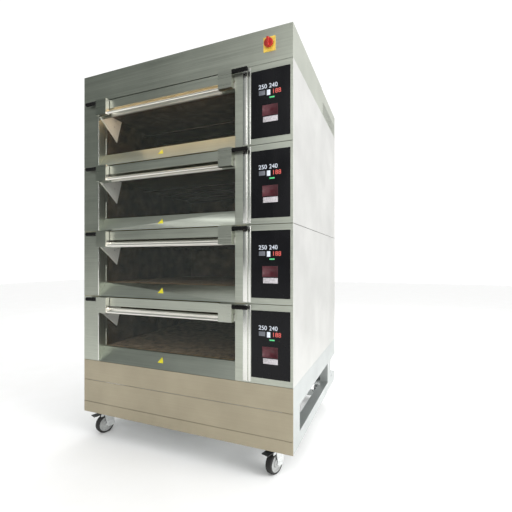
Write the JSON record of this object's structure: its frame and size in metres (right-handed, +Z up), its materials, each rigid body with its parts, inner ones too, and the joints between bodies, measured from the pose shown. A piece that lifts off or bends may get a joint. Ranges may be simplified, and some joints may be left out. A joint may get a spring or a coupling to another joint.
{
  "type": "deck oven",
  "caption": "Stacked electric bakery deck oven in stainless steel with inward-swinging glass doors, stone hearths, side control panels and a wheeled base frame.",
  "frame": {"origin": "centre of the oven's bounding box, on the floor under the wheels", "axes": "+Z up, +Y from the door side to the rear, +X to the right of someone who faces the doors"},
  "size_m": [1.22, 1.125, 2.008],
  "materials": {
    "stainless_sheet": "brushed",
    "stainless_frame": "brushed",
    "polished_steel": "satin",
    "chamber_liner": "heat-darkened satin",
    "hearth_stone": "matt",
    "panel_glass": "gloss",
    "door_glass": "clear gloss",
    "black_grip": "matt",
    "element_steel": "oxidised satin",
    "lamp_glass": "frosted",
    "mineral_wool": "fibrous",
    "control_case": "satin",
    "yellow_plastic": "semi-gloss",
    "red_plastic": "semi-gloss",
    "black_plastic": "matt",
    "zinc": "bright zinc",
    "black_tyre": "matt"
  },
  "bodies": {
    "oven": {"base_frame": "stainless_frame", "front_skirt": "stainless_sheet", "deck_1_front": "stainless_sheet", "deck_1_sill": "stainless_sheet", "deck_1_chamber": "chamber_liner", "deck_1_hearth": "hearth_stone", "deck_1_control_panel": "panel_glass", "deck_2_front": "stainless_sheet", "deck_2_sill": "stainless_sheet", "deck_2_chamber": "chamber_liner", "deck_2_hearth": "hearth_stone", "deck_2_control_panel": "panel_glass", "deck_3_front": "stainless_sheet", "deck_3_sill": "stainless_sheet", "deck_3_chamber": "chamber_liner", "deck_3_hearth": "hearth_stone", "deck_3_control_panel": "panel_glass", "deck_4_front": "stainless_sheet", "deck_4_sill": "stainless_sheet", "deck_4_chamber": "chamber_liner", "deck_4_hearth": "hearth_stone", "deck_4_control_panel": "panel_glass", "door_bearings": "polished_steel", "heating_elements": "element_steel", "oven_lamps": "lamp_glass", "insulation": "mineral_wool", "control_boxes": "control_case", "left_lower_panel": "stainless_sheet", "left_upper_panel": "stainless_sheet", "right_lower_panel": "stainless_sheet", "right_upper_panel": "stainless_sheet", "rear_cover": "stainless_sheet", "hood": "stainless_sheet", "rear_top": "stainless_sheet", "switch_plate": "yellow_plastic", "cable_gland": "black_plastic", "caster_plates": "zinc"},
    "door_1": {"deck_1_door_rail": "polished_steel", "deck_1_door_glass": "door_glass", "deck_1_grips": "black_grip"},
    "door_2": {"deck_2_door_rail": "polished_steel", "deck_2_door_glass": "door_glass", "deck_2_grips": "black_grip"},
    "door_3": {"deck_3_door_rail": "polished_steel", "deck_3_door_glass": "door_glass", "deck_3_grips": "black_grip"},
    "door_4": {"deck_4_door_rail": "polished_steel", "deck_4_door_glass": "door_glass", "deck_4_grips": "black_grip"},
    "switch_knob_body": {"switch_knob": "red_plastic"},
    "fork_front_left": {"caster_fork_front_left": "zinc"},
    "wheel_front_left": {"caster_wheel_front_left": "black_tyre"},
    "fork_front_right": {"caster_fork_front_right": "zinc"},
    "wheel_front_right": {"caster_wheel_front_right": "black_tyre"},
    "fork_rear_left": {"caster_fork_rear_left": "zinc"},
    "wheel_rear_left": {"caster_wheel_rear_left": "black_tyre"},
    "fork_rear_right": {"caster_fork_rear_right": "zinc"},
    "wheel_rear_right": {"caster_wheel_rear_right": "black_tyre"},
    "pedal_front_left": {"brake_pedal_front_left": "black_grip"},
    "pedal_front_right": {"brake_pedal_front_right": "black_grip"}
  },
  "joints": [
    {"name": "door_1_swing", "type": "hinge", "parent": "oven", "child": "door_1", "pos_m": [0, -0.5165, 0.716], "axis": [1, 0, 0], "range_deg": [0, 75], "stiffness_Nm_per_rad": 1, "springref_deg": -40.11},
    {"name": "door_2_swing", "type": "hinge", "parent": "oven", "child": "door_2", "pos_m": [0, -0.5165, 1.074], "axis": [1, 0, 0], "range_deg": [0, 75], "stiffness_Nm_per_rad": 1, "springref_deg": -40.11},
    {"name": "door_3_swing", "type": "hinge", "parent": "oven", "child": "door_3", "pos_m": [0, -0.5165, 1.432], "axis": [1, 0, 0], "range_deg": [0, 75], "stiffness_Nm_per_rad": 1, "springref_deg": -40.11},
    {"name": "door_4_swing", "type": "hinge", "parent": "oven", "child": "door_4", "pos_m": [0, -0.5165, 1.79], "axis": [1, 0, 0], "range_deg": [0, 75], "stiffness_Nm_per_rad": 1, "springref_deg": -40.11},
    {"name": "switch_turn", "type": "hinge", "parent": "oven", "child": "switch_knob_body", "pos_m": [0.502, -0.5325, 1.936], "axis": [0, 1, 0], "range_deg": [0, 90]},
    {"name": "swivel_front_left", "type": "hinge", "parent": "oven", "child": "fork_front_left", "pos_m": [-0.512, -0.4345, 0.133], "axis": [0, 0, 1], "continuous": true},
    {"name": "wheel_spin_front_left", "type": "hinge", "parent": "fork_front_left", "child": "wheel_front_left", "pos_m": [-0.52251, -0.46684, 0.05], "axis": [0.9511, -0.309, 0], "continuous": true},
    {"name": "brake_front_left", "type": "hinge", "parent": "fork_front_left", "child": "pedal_front_left", "pos_m": [-0.53054, -0.49156, 0.107], "axis": [0.9511, -0.309, 0], "range_deg": [0, 12]},
    {"name": "swivel_front_right", "type": "hinge", "parent": "oven", "child": "fork_front_right", "pos_m": [0.512, -0.4345, 0.133], "axis": [0, 0, 1], "continuous": true},
    {"name": "wheel_spin_front_right", "type": "hinge", "parent": "fork_front_right", "child": "wheel_front_right", "pos_m": [0.50149, -0.46684, 0.05], "axis": [0.9511, -0.309, 0], "continuous": true},
    {"name": "brake_front_right", "type": "hinge", "parent": "fork_front_right", "child": "pedal_front_right", "pos_m": [0.49346, -0.49156, 0.107], "axis": [0.9511, -0.309, 0], "range_deg": [0, 12]},
    {"name": "swivel_rear_left", "type": "hinge", "parent": "oven", "child": "fork_rear_left", "pos_m": [-0.512, 0.4395, 0.133], "axis": [0, 0, 1], "continuous": true},
    {"name": "wheel_spin_rear_left", "type": "hinge", "parent": "fork_rear_left", "child": "wheel_rear_left", "pos_m": [-0.512, 0.4055, 0.05], "axis": [1, 0, 0], "continuous": true},
    {"name": "swivel_rear_right", "type": "hinge", "parent": "oven", "child": "fork_rear_right", "pos_m": [0.512, 0.4395, 0.133], "axis": [0, 0, 1], "continuous": true},
    {"name": "wheel_spin_rear_right", "type": "hinge", "parent": "fork_rear_right", "child": "wheel_rear_right", "pos_m": [0.512, 0.4055, 0.05], "axis": [1, 0, 0], "continuous": true}
  ]
}
